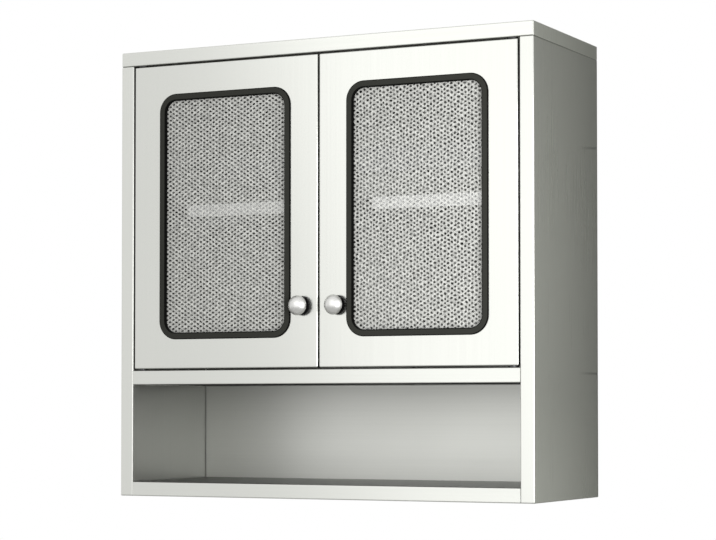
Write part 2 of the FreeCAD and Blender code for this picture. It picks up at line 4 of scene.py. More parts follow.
import bmesh
import bpy
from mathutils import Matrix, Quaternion, Vector


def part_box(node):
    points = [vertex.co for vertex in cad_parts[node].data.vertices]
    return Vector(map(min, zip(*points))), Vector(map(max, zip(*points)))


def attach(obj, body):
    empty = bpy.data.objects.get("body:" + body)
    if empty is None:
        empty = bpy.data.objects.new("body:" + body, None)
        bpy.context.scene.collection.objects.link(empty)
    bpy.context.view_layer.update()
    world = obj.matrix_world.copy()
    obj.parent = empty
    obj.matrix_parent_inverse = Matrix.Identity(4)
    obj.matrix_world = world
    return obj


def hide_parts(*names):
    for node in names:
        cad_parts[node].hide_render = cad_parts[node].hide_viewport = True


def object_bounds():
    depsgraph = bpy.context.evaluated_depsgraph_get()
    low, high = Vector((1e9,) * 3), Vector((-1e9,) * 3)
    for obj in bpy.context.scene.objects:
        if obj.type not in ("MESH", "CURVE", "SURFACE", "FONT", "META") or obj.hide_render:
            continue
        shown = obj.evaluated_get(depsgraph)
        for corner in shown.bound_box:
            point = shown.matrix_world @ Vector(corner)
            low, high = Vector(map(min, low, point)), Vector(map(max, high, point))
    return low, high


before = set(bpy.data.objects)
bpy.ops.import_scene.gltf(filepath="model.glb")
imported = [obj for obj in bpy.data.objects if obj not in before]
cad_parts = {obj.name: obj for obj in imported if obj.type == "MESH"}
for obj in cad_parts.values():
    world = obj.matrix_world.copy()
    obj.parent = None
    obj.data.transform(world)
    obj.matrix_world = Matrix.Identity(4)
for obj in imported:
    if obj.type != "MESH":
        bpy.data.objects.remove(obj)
cad_low, cad_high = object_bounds()


# Carcass panels: two sides, a top, a deck and a niche floor, of 0.8 mm stainless sheet.
# The sheet is brushed before it is folded, up and down on the sides and from end to end on the rest.
# The panels sit in one another's folds and are spot welded from the inside.

STEEL_LIGHT = (0.632, 0.639, 0.604, 1.0)
STEEL_DARK = (0.610, 0.617, 0.583, 1.0)
LIT_LEVEL_LIGHT = (0.657, 0.665, 0.628, 1.0)    # painted light: a lighter copy of the same steel for the sheets brushed from end to end
LIT_LEVEL_DARK = (0.634, 0.642, 0.606, 1.0)
GRAIN_ACROSS = 2600.0        # brush lines in a metre across the grain
GRAIN_ALONG = 6.0            # and along it
GRAIN_UPRIGHT = (GRAIN_ACROSS, GRAIN_ACROSS, GRAIN_ALONG)
GRAIN_LEVEL = (GRAIN_ALONG, GRAIN_ACROSS, GRAIN_ACROSS)
BROAD_STREAK = 0.12          # broad streaks, as a share of the fine ones' fineness
FINE_DETAIL = 2.0
BROAD_DETAIL = 3.0
CLOUD_SCALE = 5.0            # clouds in a metre, from rolling and handling
CLOUD_DETAIL = 2.0
MARKS_DARK = 1.1             # lines and clouds add up to this where the sheet is darkest
MARKS_LIGHT = 1.9            # and to this where it is lightest
BRUSHED_SMOOTH = 0.27
BRUSHED_ROUGH = 0.30
BRUSHED_SPREAD = 0.65        # how far the brushing stretches a reflection across the grain
LEVEL_SPREAD = 0.05          # hardly at all on sheets that are brushed from end to end with a finer belt
BRUSHED_BUMP = 0.0000018
HALF_SHEET = 0.0004
INSIDE_SHADE = 0.65          # painted shade on the sheet's inner faces, which are also left as rolled and rougher
NICHE_WALL_SHADE = 0.38      # painted shade, darker still on the niche's walls
NICHE_FLOOR_SHADE = 0.32     # painted shade on its floor
NICHE_CEILING_SHADE = 0.08   # painted shade in the fold along its ceiling
INSIDE_EXTRA_ROUGH = 0.10
SKIRT_PAINTED_LIGHT = 1.35            # painted light: end skirts, which face sideways, are made lighter
TOP_ROUGH = 0.62             # the top's upper face is never seen on a wall, and left as rolled
FACES_ALONG = 0.7            # a face looks along an axis from this share of its normal
CREASE_BELOW_DECK = 0.005    # the lower weld crease; the upper one is level with the upper wall bar
CREASE_LENGTH = 0.075        # how far forwards its dark line reaches
CREASE_FALL = 0.0075         # the upper one runs downhill by this much on the way
CREASE_HALF_HEIGHT = 0.0026
CREASE_SHADE = 0.42          # painted shade in the weld creases
REAR_EDGE = 0.008            # the sides' rear edge gets painted shade too, over this width
REAR_EDGE_SHADE = 0.5        # as a share of the creases' painted shade


def put(tree, kind, inputs=None, **options):
    """A new shader node with its options set and its named inputs filled or linked."""
    made = tree.nodes.new("ShaderNode" + kind)
    for option, value in options.items():
        setattr(made, option, value)
    for name, value in (inputs or {}).items():
        if isinstance(value, bpy.types.NodeSocket):
            tree.links.new(value, made.inputs[name])
        else:
            made.inputs[name].default_value = value
    return made


def new_finish(name, **constants):
    """A material with one principled shader, and its tree and that shader."""
    finish = bpy.data.materials.new(name)
    finish.use_nodes = True
    tree = finish.node_tree
    tree.nodes.clear()
    shader = put(tree, "BsdfPrincipled")
    for socket, value in constants.items():
        shader.inputs[socket.replace("_", " ")].default_value = value
    put(tree, "OutputMaterial", {"Surface": shader.outputs[0]})
    return finish, tree, shader


def dress(finish, *nodes):
    """Puts the finish on CAD nodes, which keep their own meshes."""
    for name in nodes:
        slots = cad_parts[name].data.materials
        slots.clear()
        slots.append(finish)


def new_group(name, inputs, outputs):
    """An empty shader node group with named sockets, and its input and output nodes."""
    group = bpy.data.node_groups.new(name, "ShaderNodeTree")
    for label, kind in inputs:
        group.interface.new_socket(label, in_out="INPUT", socket_type="NodeSocket" + kind)
    for label, kind in outputs:
        group.interface.new_socket(label, in_out="OUTPUT", socket_type="NodeSocket" + kind)
    return group, group.nodes.new("NodeGroupInput"), group.nodes.new("NodeGroupOutput")


def brushed_grain_group():
    """Fine and broad brush lines and soft clouds, as a colour, a roughness and a height."""
    group, given, out = new_group(
        "brushed grain",
        (("Grain", "Vector"), ("Light", "Color"), ("Dark", "Color"),
         ("Smooth", "Float"), ("Rough", "Float")),
        (("Color", "Color"), ("Roughness", "Float"), ("Height", "Float")))
    place = put(group, "TexCoord").outputs["Object"]
    fine_place = put(group, "VectorMath", {0: place, 1: given.outputs["Grain"]}, operation="MULTIPLY")
    broad_place = put(
        group, "VectorMath", {0: fine_place.outputs[0], "Scale": BROAD_STREAK}, operation="SCALE")
    fine = put(group, "TexNoise", {"Vector": fine_place.outputs[0], "Scale": 1.0, "Detail": FINE_DETAIL})
    broad = put(group, "TexNoise", {"Vector": broad_place.outputs[0], "Scale": 1.0, "Detail": BROAD_DETAIL})
    cloud = put(group, "TexNoise", {"Vector": place, "Scale": CLOUD_SCALE, "Detail": CLOUD_DETAIL})
    streaks = put(group, "Math", {0: fine.outputs["Fac"], 1: broad.outputs["Fac"]}, operation="ADD")
    mixed = put(group, "Math", {0: streaks.outputs[0], 1: cloud.outputs["Fac"]}, operation="ADD")
    tone = put(group, "MapRange", {
        "Value": mixed.outputs[0], "From Min": MARKS_DARK, "From Max": MARKS_LIGHT})
    colour = put(
        group, "Mix", {"Factor": tone.outputs[0], "A": given.outputs["Dark"], "B": given.outputs["Light"]},
        data_type="RGBA")
    rough = put(group, "MapRange", {
        "Value": mixed.outputs[0], "From Min": MARKS_DARK, "From Max": MARKS_LIGHT,
        "To Min": given.outputs["Rough"], "To Max": given.outputs["Smooth"]})
    group.links.new(colour.outputs["Result"], out.inputs["Color"])
    group.links.new(rough.outputs[0], out.inputs["Roughness"])
    group.links.new(streaks.outputs[0], out.inputs["Height"])
    return group


brushed_grain = brushed_grain_group()


def inside_mask(tree, place):
    """One on the inner faces of the folded panels, nought on the faces that show from outside."""
    low_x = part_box("left_side_panel")[0].x + HALF_SHEET
    high_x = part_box("right_side_panel")[1].x - HALF_SHEET
    front_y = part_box("top_panel")[0].y + HALF_SHEET
    low_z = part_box("niche_floor_panel")[0].z + HALF_SHEET
    high_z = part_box("top_panel")[1].z - HALF_SHEET
    at = put(tree, "SeparateXYZ", {0: place})
    tests = (
        (at.outputs["X"], "GREATER_THAN", low_x), (at.outputs["X"], "LESS_THAN", high_x),
        (at.outputs["Y"], "GREATER_THAN", front_y),
        (at.outputs["Z"], "GREATER_THAN", low_z), (at.outputs["Z"], "LESS_THAN", high_z))
    mask = 1.0
    for value, test, limit in tests:
        passed = put(tree, "Math", {0: value, 1: limit}, operation=test)
        mask = put(tree, "Math", {0: passed.outputs[0], 1: mask}, operation="MULTIPLY").outputs[0]
    return mask


def faces_along(tree, normal, axis):
    """One where the surface faces along the axis, to either side."""
    parts = put(tree, "SeparateXYZ", {0: normal})
    size = put(tree, "Math", {0: parts.outputs[axis]}, operation="ABSOLUTE")
    return put(tree, "Math", {0: size.outputs[0], 1: FACES_ALONG}, operation="GREATER_THAN").outputs[0]


def crease_painted_shade(tree, place):
    """Painted shade: one along the two weld creases of a side panel, fading out round them, and less at its
    rear edge.
    """
    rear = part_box("right_side_panel")[1].y
    bar_low, bar_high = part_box("upper_wall_bar")
    upper = (bar_low.z + bar_high.z) / 2
    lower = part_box("deck_panel")[1].z - CREASE_BELOW_DECK
    at = put(tree, "SeparateXYZ", {0: place})
    ahead = put(tree, "MapRange", {
        "Value": at.outputs["Y"], "From Min": rear - CREASE_LENGTH, "From Max": rear})
    crease_line = 0.0
    for z, fall in ((upper, CREASE_FALL), (lower, 0.0)):
        course = put(tree, "MapRange", {"Value": ahead.outputs[0], "To Min": z - fall, "To Max": z})
        away = put(tree, "Math", {0: at.outputs["Z"], 1: course.outputs[0]}, operation="SUBTRACT")
        far = put(tree, "Math", {0: away.outputs[0]}, operation="ABSOLUTE")
        line = put(tree, "MapRange", {
            "Value": far.outputs[0], "From Max": CREASE_HALF_HEIGHT, "To Min": 1.0, "To Max": 0.0})
        crease_line = put(tree, "Math", {0: line.outputs[0], 1: crease_line}, operation="MAXIMUM").outputs[0]
    creases = put(tree, "Math", {0: crease_line, 1: ahead.outputs[0]}, operation="MULTIPLY")
    edge = put(tree, "MapRange", {
        "Value": at.outputs["Y"], "From Min": rear - REAR_EDGE, "From Max": rear,
        "To Max": REAR_EDGE_SHADE})
    return put(tree, "Math", {0: creases.outputs[0], 1: edge.outputs[0]}, operation="MAXIMUM").outputs[0]


def toned(tree, colour, mask, times):
    """The colour, lighter or duller by this factor where the mask is one."""
    factor = put(tree, "MapRange", {"Value": mask, "To Min": 1.0, "To Max": times})
    return put(tree, "VectorMath", {0: colour, "Scale": factor.outputs[0]}, operation="SCALE").outputs[0]


def inner_shade(tree, where, level, niche_shade):
    """The shade of the inner faces. The broad ones in the niche can have a shade of their own."""
    if niche_shade is None:
        return INSIDE_SHADE
    at = put(tree, "SeparateXYZ", {0: where.outputs["Object"]})
    deck_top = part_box("deck_panel")[1].z - HALF_SHEET
    below = put(tree, "Math", {0: at.outputs["Z"], 1: deck_top}, operation="LESS_THAN")
    broad = faces_along(tree, where.outputs["Normal"], "Z" if level else "X")
    in_niche = put(tree, "Math", {0: broad, 1: below.outputs[0]}, operation="MULTIPLY")
    return put(tree, "MapRange", {
        "Value": in_niche.outputs[0], "To Min": INSIDE_SHADE, "To Max": niche_shade}).outputs[0]


def brushed_finish(
        name, level, shade_inside=False, niche_shade=None, under_shade=None, top_rough=None, shade_creases=False,
        smooth=BRUSHED_SMOOTH, rough=BRUSHED_ROUGH, light=STEEL_LIGHT, dark=STEEL_DARK):
    """Brushed sheet. Reflections spread at right angles to the grain, which turns down on end skirts,
    where it gets painted light. Faces inside the carcass can get painted shade, the broad ones in the niche
    a painted shade of their own, and so can the underside and the weld creases. The upper face can be
    rougher."""
    stretch = LEVEL_SPREAD if level else BRUSHED_SPREAD
    finish, tree, shader = new_finish(name, Metallic=1.0, Anisotropic=stretch)
    where = put(tree, "TexCoord")
    lines = put(
        tree, "Group",
        {"Grain": GRAIN_UPRIGHT, "Light": light, "Dark": dark, "Smooth": smooth, "Rough": rough},
        node_tree=brushed_grain)
    colour = lines.outputs["Color"]
    roughness = lines.outputs["Roughness"]
    spread = put(tree, "Tangent", direction_type="RADIAL", axis="Z").outputs[0]
    if level:
        skirt = faces_along(tree, where.outputs["Normal"], "X")
        along = put(tree, "Tangent", direction_type="RADIAL", axis="X").outputs[0]
        grain = put(
            tree, "Mix", {"Factor": skirt, "A": GRAIN_LEVEL, "B": GRAIN_UPRIGHT}, data_type="VECTOR")
        turned = put(tree, "Mix", {"Factor": skirt, "A": along, "B": spread}, data_type="VECTOR")
        tree.links.new(grain.outputs["Result"], lines.inputs["Grain"])
        spread = turned.outputs["Result"]
        # painted light on the end skirts
        colour = toned(tree, colour, skirt, SKIRT_PAINTED_LIGHT)
    if shade_inside:
        # painted shade on the inner faces, and a rougher surface there
        within = inside_mask(tree, where.outputs["Object"])
        colour = toned(tree, colour, within, inner_shade(tree, where, level, niche_shade))
        extra = put(tree, "Math", {0: within, 1: INSIDE_EXTRA_ROUGH}, operation="MULTIPLY")
        roughness = put(tree, "Math", {0: roughness, 1: extra.outputs[0]}, operation="ADD").outputs[0]
    if top_rough:
        facing = put(tree, "SeparateXYZ", {0: where.outputs["Normal"]})
        above = put(tree, "Math", {0: facing.outputs["Z"], 1: FACES_ALONG}, operation="GREATER_THAN")
        roughness = put(tree, "MapRange", {
            "Value": above.outputs[0], "To Min": roughness, "To Max": top_rough}).outputs[0]
    if under_shade:
        facing = put(tree, "SeparateXYZ", {0: where.outputs["Normal"]})
        under = put(tree, "Math", {0: facing.outputs["Z"], 1: -FACES_ALONG}, operation="LESS_THAN")
        colour = toned(tree, colour, under.outputs[0], under_shade)
    if shade_creases:
        # painted shade in the weld creases and along the rear edge
        colour = toned(tree, colour, crease_painted_shade(tree, where.outputs["Object"]), CREASE_SHADE)
    bump = put(tree, "Bump", {"Height": lines.outputs["Height"], "Distance": BRUSHED_BUMP})
    tree.links.new(colour, shader.inputs["Base Color"])
    tree.links.new(roughness, shader.inputs["Roughness"])
    tree.links.new(bump.outputs[0], shader.inputs["Normal"])
    tree.links.new(spread, shader.inputs["Tangent"])
    return finish


upright_sheet = brushed_finish(
    "sheet brushed upright", level=False, shade_inside=True, niche_shade=NICHE_WALL_SHADE, shade_creases=True)
level_sheet = brushed_finish(
    "sheet brushed level", level=True, shade_inside=True, top_rough=TOP_ROUGH,
    light=LIT_LEVEL_LIGHT, dark=LIT_LEVEL_DARK)
deck_sheet = brushed_finish(
    "deck brushed level", level=True, shade_inside=True, niche_shade=NICHE_CEILING_SHADE,
    light=LIT_LEVEL_LIGHT, dark=LIT_LEVEL_DARK)
niche_floor_sheet = brushed_finish(
    "niche floor brushed level", level=True, shade_inside=True, niche_shade=NICHE_FLOOR_SHADE,
    light=LIT_LEVEL_LIGHT, dark=LIT_LEVEL_DARK)
dress(upright_sheet, "left_side_panel", "right_side_panel")
dress(level_sheet, "top_panel")
dress(deck_sheet, "deck_panel")
dress(niche_floor_sheet, "niche_floor_panel")


# Deck liner: a flat sheet that closes the deck from below, painted matt dark as the shade along the
# niche's ceiling. It is spot welded to the folds of the deck.

SHADE_COAT_LIGHT = (0.095, 0.096, 0.092, 1.0)
SHADE_COAT_DARK = (0.065, 0.066, 0.063, 1.0)
COAT_GRAIN_SCALE = 700.0
COAT_BUMP = 0.00008
COAT_ROUGH = 0.9
COAT_SHINE = 0.02
MOULDED_DETAIL = 4.0         # how finely a sprayed or moulded surface is broken up


def moulded_finish(name, dark, light, scale, bump_height, **constants):
    """A coat or a moulded plastic with a slight unevenness of tone and surface."""
    finish, tree, shader = new_finish(name, **constants)
    place = put(tree, "TexCoord").outputs["Object"]
    grain = put(tree, "TexNoise", {"Vector": place, "Scale": scale, "Detail": MOULDED_DETAIL})
    colour = put(tree, "Mix", {"Factor": grain.outputs["Fac"], "A": dark, "B": light}, data_type="RGBA")
    bump = put(tree, "Bump", {"Height": grain.outputs["Fac"], "Distance": bump_height})
    tree.links.new(colour.outputs["Result"], shader.inputs["Base Color"])
    tree.links.new(bump.outputs[0], shader.inputs["Normal"])
    return finish


# painted shade: the dark coat stands for the shade along the niche's ceiling
ceiling_shade_coat = moulded_finish(
    "dark coat", SHADE_COAT_DARK, SHADE_COAT_LIGHT, COAT_GRAIN_SCALE, COAT_BUMP,
    Roughness=COAT_ROUGH, Specular_IOR_Level=COAT_SHINE)
dress(ceiling_shade_coat, "deck_liner")


# Back panel, niche back and wall bars: two flat sheets of the same steel, the niche back made lighter as
# painted light, and two folded bars of zinc-plated steel. The bars are spot welded to the back and drilled
# with it for the four wall screws.

# painted light: the niche back is a lighter copy of the same steel
LIT_NICHE_BACK_LIGHT = (0.775, 0.783, 0.741, 1.0)
LIT_NICHE_BACK_DARK = (0.750, 0.758, 0.717, 1.0)
NICHE_BACK_SMOOTH = 0.42     # brushed with a coarse belt, so that it spreads reflections widely
NICHE_BACK_ROUGH = 0.46
ZINC_LIGHT = (0.60, 0.61, 0.62, 1.0)
ZINC_DARK = (0.46, 0.47, 0.49, 1.0)
ZINC_CLOUD_SCALE = 90.0
ZINC_CLOUD_DETAIL = 3.0
ZINC_SMOOTH = 0.34
ZINC_ROUGH = 0.5


def plated_finish():
    """Zinc plating: dull silver with small cloudy patches."""
    finish, tree, shader = new_finish("zinc plating", Metallic=1.0)
    place = put(tree, "TexCoord").outputs["Object"]
    patches = put(tree, "TexNoise", {
        "Vector": place, "Scale": ZINC_CLOUD_SCALE, "Detail": ZINC_CLOUD_DETAIL})
    colour = put(
        tree, "Mix", {"Factor": patches.outputs["Fac"], "A": ZINC_DARK, "B": ZINC_LIGHT}, data_type="RGBA")
    rough = put(tree, "MapRange", {
        "Value": patches.outputs["Fac"], "To Min": ZINC_ROUGH, "To Max": ZINC_SMOOTH})
    tree.links.new(colour.outputs["Result"], shader.inputs["Base Color"])
    tree.links.new(rough.outputs[0], shader.inputs["Roughness"])
    return finish


zinc = plated_finish()
niche_back_sheet = brushed_finish(
    "niche back brushed level", level=True, smooth=NICHE_BACK_SMOOTH, rough=NICHE_BACK_ROUGH,
    light=LIT_NICHE_BACK_LIGHT, dark=LIT_NICHE_BACK_DARK)
dress(level_sheet, "back_panel")
dress(niche_back_sheet, "niche_back_panel")
dress(zinc, "upper_wall_bar", "lower_wall_bar")


# Inner shelf and its rails: one sheet with its front edge folded down and back, laid loose on two
# angles that are welded to the side panels. The sheet is brushed, made lighter than the carcass steel as
# painted light, and darker underneath as painted shade.

# painted light: a lighter copy of the carcass steel
LIT_SHELF_LIGHT = (0.92, 0.925, 0.915, 1.0)
LIT_SHELF_DARK = (0.88, 0.885, 0.875, 1.0)
SHELF_SMOOTH = 0.14
SHELF_ROUGH = 0.18
# painted shade on the shelf's underside
SHELF_UNDER_SHADE = 0.2

shelf_sheet = brushed_finish(
    "shelf sheet brushed level", level=True, under_shade=SHELF_UNDER_SHADE,
    smooth=SHELF_SMOOTH, rough=SHELF_ROUGH, light=LIT_SHELF_LIGHT, dark=LIT_SHELF_DARK)
dress(shelf_sheet, "inner_shelf")
dress(zinc, "left_shelf_rail", "right_shelf_rail")


# Pivot bushes: flanged sleeves turned from black nylon, pressed into the header lip and the deck.
# The door's pins run in them.

NYLON_LIGHT = (0.030, 0.030, 0.031, 1.0)
NYLON_DARK = (0.018, 0.018, 0.019, 1.0)
NYLON_CLOUD_SCALE = 400.0
NYLON_BUMP = 0.00003
NYLON_ROUGH = 0.5

nylon = moulded_finish(
    "black nylon", NYLON_DARK, NYLON_LIGHT, NYLON_CLOUD_SCALE, NYLON_BUMP, Roughness=NYLON_ROUGH)
dress(nylon, "upper_pivot_bushes", "lower_pivot_bushes")


# Doors: each a pan folded from brushed sheet with a flat liner closing its rear, both cut out for the
# window. The grain runs up and down.

DOOR_SMOOTH = 0.20           # the doors are brushed with a finer belt than the carcass
DOOR_ROUGH = 0.23

door_sheet = brushed_finish(
    "door sheet brushed upright", level=False, smooth=DOOR_SMOOTH, rough=DOOR_ROUGH)
dress(door_sheet, "left_door_pan", "right_door_pan", "left_door_liner", "right_door_liner")


# Window gaskets: black extruded rubber bent round the cut-out, with a domed lip on the front of the
# door, a lip behind it and a groove that holds the pane.

RUBBER_LIGHT = (0.047, 0.048, 0.041, 1.0)
RUBBER_DARK = (0.033, 0.034, 0.029, 1.0)
RUBBER_GRAIN_SCALE = 900.0
RUBBER_GRAIN_DETAIL = 4.0
RUBBER_BUMP = 0.00006
RUBBER_FLANK_SHADE = (0.002, 0.002, 0.0017, 1.0)
RUBBER_FLANK_FACING = -0.8   # a flank faces the front by less than this share of its normal
RUBBER_CROWN_FACING = -1.0   # and the crown wholly
RUBBER_FLANK_ROUGH = 0.8
RUBBER_CROWN_ROUGH = 0.40
RUBBER_SHINE = 0.08


def rubber_finish():
    """Black rubber, wiped to a slight shine on the crown and dead matt on the flanks, with painted shade
    that makes the flanks near black.
    """
    finish, tree, shader = new_finish("black rubber", Specular_IOR_Level=RUBBER_SHINE)
    where = put(tree, "TexCoord")
    grain = put(tree, "TexNoise", {
        "Vector": where.outputs["Object"], "Scale": RUBBER_GRAIN_SCALE, "Detail": RUBBER_GRAIN_DETAIL})
    facing = put(tree, "SeparateXYZ", {0: where.outputs["Normal"]})
    crown = put(tree, "MapRange", {
        "Value": facing.outputs["Y"], "From Min": RUBBER_FLANK_FACING, "From Max": RUBBER_CROWN_FACING})
    tone = put(tree, "Mix", {
        "Factor": grain.outputs["Fac"], "A": RUBBER_DARK, "B": RUBBER_LIGHT}, data_type="RGBA")
    # painted shade: the flanks are near black
    colour = put(tree, "Mix", {
        "Factor": crown.outputs[0], "A": RUBBER_FLANK_SHADE, "B": tone.outputs["Result"]}, data_type="RGBA")
    rough = put(tree, "MapRange", {
        "Value": crown.outputs[0], "To Min": RUBBER_FLANK_ROUGH, "To Max": RUBBER_CROWN_ROUGH})
    bump = put(tree, "Bump", {"Height": grain.outputs["Fac"], "Distance": RUBBER_BUMP})
    tree.links.new(colour.outputs["Result"], shader.inputs["Base Color"])
    tree.links.new(rough.outputs[0], shader.inputs["Roughness"])
    tree.links.new(bump.outputs[0], shader.inputs["Normal"])
    return finish


rubber = rubber_finish()
dress(rubber, "left_window_gasket", "right_window_gasket")


# Panes: rolled glass 5 mm thick with raised oval dots in staggered columns on its front. The ground
# between the dots is etched white, and the dots are clear. The edge sits in the gasket's groove.

PANE_CORNER = 0.0188
PANE_CORNER_CUTS = 12        # straight cuts that make up one rounded corner
DOT_COLUMN = 0.00473         # between neighbouring columns
DOT_ROW = 0.0059             # between the dots of one column
DOT_CUTS = {                 # the panes are cut from two places of one sheet, the right one nearer its edge
    "left": {
        "seed": 7, "half": (0.0024, 0.0015), "lean": math.radians(-20),
        "stray": 0.00015, "drift": 0.0001},
    "right": {
        "seed": 8, "half": (0.0021, 0.0018), "lean": math.radians(15),
        "stray": 0.0004, "drift": 0.00045},
}
DOT_LEAN_WAVE = (0.085, 0.062)    # oval dots lean one way and the other in waves of this length
DRIFT_WAVES = ((0.031, 0.043), (0.019, -0.027))    # and the whole pattern wanders in shorter ones
DOT_LEAN_SPREAD = math.radians(12)    # each dot leans by itself too, by up to this much
DOT_SIZE_SPREAD = 0.03       # the roller is worn, so that dots differ in size
DOT_TOP_SPREAD = 0.00035     # and their clear tops sit out of the middle
DOT_CLEAR_LOW = 0.62         # the dullest dot
DOT_SHOULDER = 0.68          # size of the clear top, as a share of the dot's
DOT_RELIEF = 0.00035
DOT_SHOULDER_RISE = 0.7      # height at the shoulder, as a share of the relief
DOT_SIDES = 12               # as many as the cell round it has corners and middles of sides
WELD_DISTANCE = 0.00001      # points nearer than this are one
GROUND_WHITE = (0.97, 0.975, 0.925, 1.0)
GROUND_GREY = (0.72, 0.724, 0.687, 1.0)
# painted shade: the clear dots carry a faint near black, as the dark inside seen through them
DOT_SHADE_COLOUR = (0.02, 0.021, 0.02, 1.0)
GROUND_ALPHA_HIGH = 0.97     # the share that the ground hides where it is etched most
GROUND_ALPHA_LOW = 0.52      # and least
DOT_ALPHA = 0.09             # and the share that a clear dot hides, and the back once more
BACK_CLEAR = 1.0             # the back is smooth, and as clear as the best dot
GROUND_ROUGH = 0.42
DOT_ROUGH = 0.08
GLASS_IOR = 1.52


def dot_cell():
    """The six corners of the cell round one dot, with a point in the middle of each side."""
    z_flat = DOT_ROW / 2
    reach = (DOT_COLUMN ** 2 + z_flat ** 2) / 2
    x_tip = reach / DOT_COLUMN
    x_flat = (reach - z_flat ** 2) / DOT_COLUMN
    corners = [
        (x_tip, 0), (x_flat, z_flat), (-x_flat, z_flat),
        (-x_tip, 0), (-x_flat, -z_flat), (x_flat, -z_flat)]
    outline = []
    for i, (x, z) in enumerate(corners):
        x_next, z_next = corners[(i + 1) % len(corners)]
        outline.append((x, z))
        outline.append(((x + x_next) / 2, (z + z_next) / 2))
    return outline


def oval_rim(turns, half, lean):
    """The foot of one dot, as a point in each direction."""
    rim = []
    for turn in turns:
        reach = 1.0 / math.hypot(math.cos(turn - lean) / half[0], math.sin(turn - lean) / half[1])
        rim.append((reach * math.cos(turn), reach * math.sin(turn)))
    return rim


def wandered(x, z, drift):
    """A place of the pattern, carried sideways and up by the worn roller."""
    for wave_x, wave_z in DRIFT_WAVES:
        turn = 2 * math.pi * (x / wave_x + z / wave_z)
        x, z = x + drift * math.sin(turn), z + drift * math.cos(turn)
    return x, z


def cut_off(mesh, faces, place, turn):
    """Cuts away what lies beyond a line of the pane's outline that faces outwards at this turn."""
    verts = dict.fromkeys(v for face in faces for v in face.verts)
    edges = dict.fromkeys(e for face in faces for e in face.edges)
    bmesh.ops.bisect_plane(
        mesh, geom=[*verts, *edges, *faces], dist=WELD_DISTANCE, use_snap_center=True, clear_outer=True,
        plane_co=place, plane_no=(math.cos(turn), 0.0, math.sin(turn)))


def cut_to_outline(mesh, middle, core_x, core_z):
    """Cuts the rolled sheet to the pane's rounded outline: four sides first, then each corner."""
    for quarter in range(4):
        turn = quarter * math.pi / 2
        reach = (core_x if quarter % 2 == 0 else core_z) + PANE_CORNER
        place = middle + Vector((reach * math.cos(turn), 0.0, reach * math.sin(turn)))
        cut_off(mesh, list(mesh.faces), place, turn)
    step = math.pi / 2 / PANE_CORNER_CUTS
    chord = PANE_CORNER * math.cos(step / 2)
    for quarter, (sign_x, sign_z) in enumerate(((1, 1), (-1, 1), (-1, -1), (1, -1))):
        centre = middle + Vector((sign_x * core_x, 0.0, sign_z * core_z))
        for cut in range(PANE_CORNER_CUTS):
            turn = quarter * math.pi / 2 + (cut + 0.5) * step
            near = [
                face for face in mesh.faces
                if sign_x * (face.verts[0].co.x - centre.x) > -DOT_ROW
                and sign_z * (face.verts[0].co.z - centre.z) > -DOT_ROW]
            cut_off(mesh, near, centre + chord * Vector((math.cos(turn), 0.0, math.sin(turn))), turn)


def close_back(mesh, clear, rear_y):
    """Gives the cut sheet a plain edge and a smooth clear back, so that the mesh is closed."""
    edge = [e for e in mesh.edges if e.is_boundary]
    grown = bmesh.ops.extrude_edge_only(mesh, edges=edge)["geom"]
    rear = [v for v in grown if isinstance(v, bmesh.types.BMVert)]
    for vert in rear:
        vert.co.y = rear_y
        vert[clear] = BACK_CLEAR
    rear_edges = [e for e in grown if isinstance(e, bmesh.types.BMEdge)]
    bmesh.ops.triangle_fill(mesh, edges=rear_edges, use_beauty=True)
    bmesh.ops.recalc_face_normals(mesh, faces=mesh.faces)


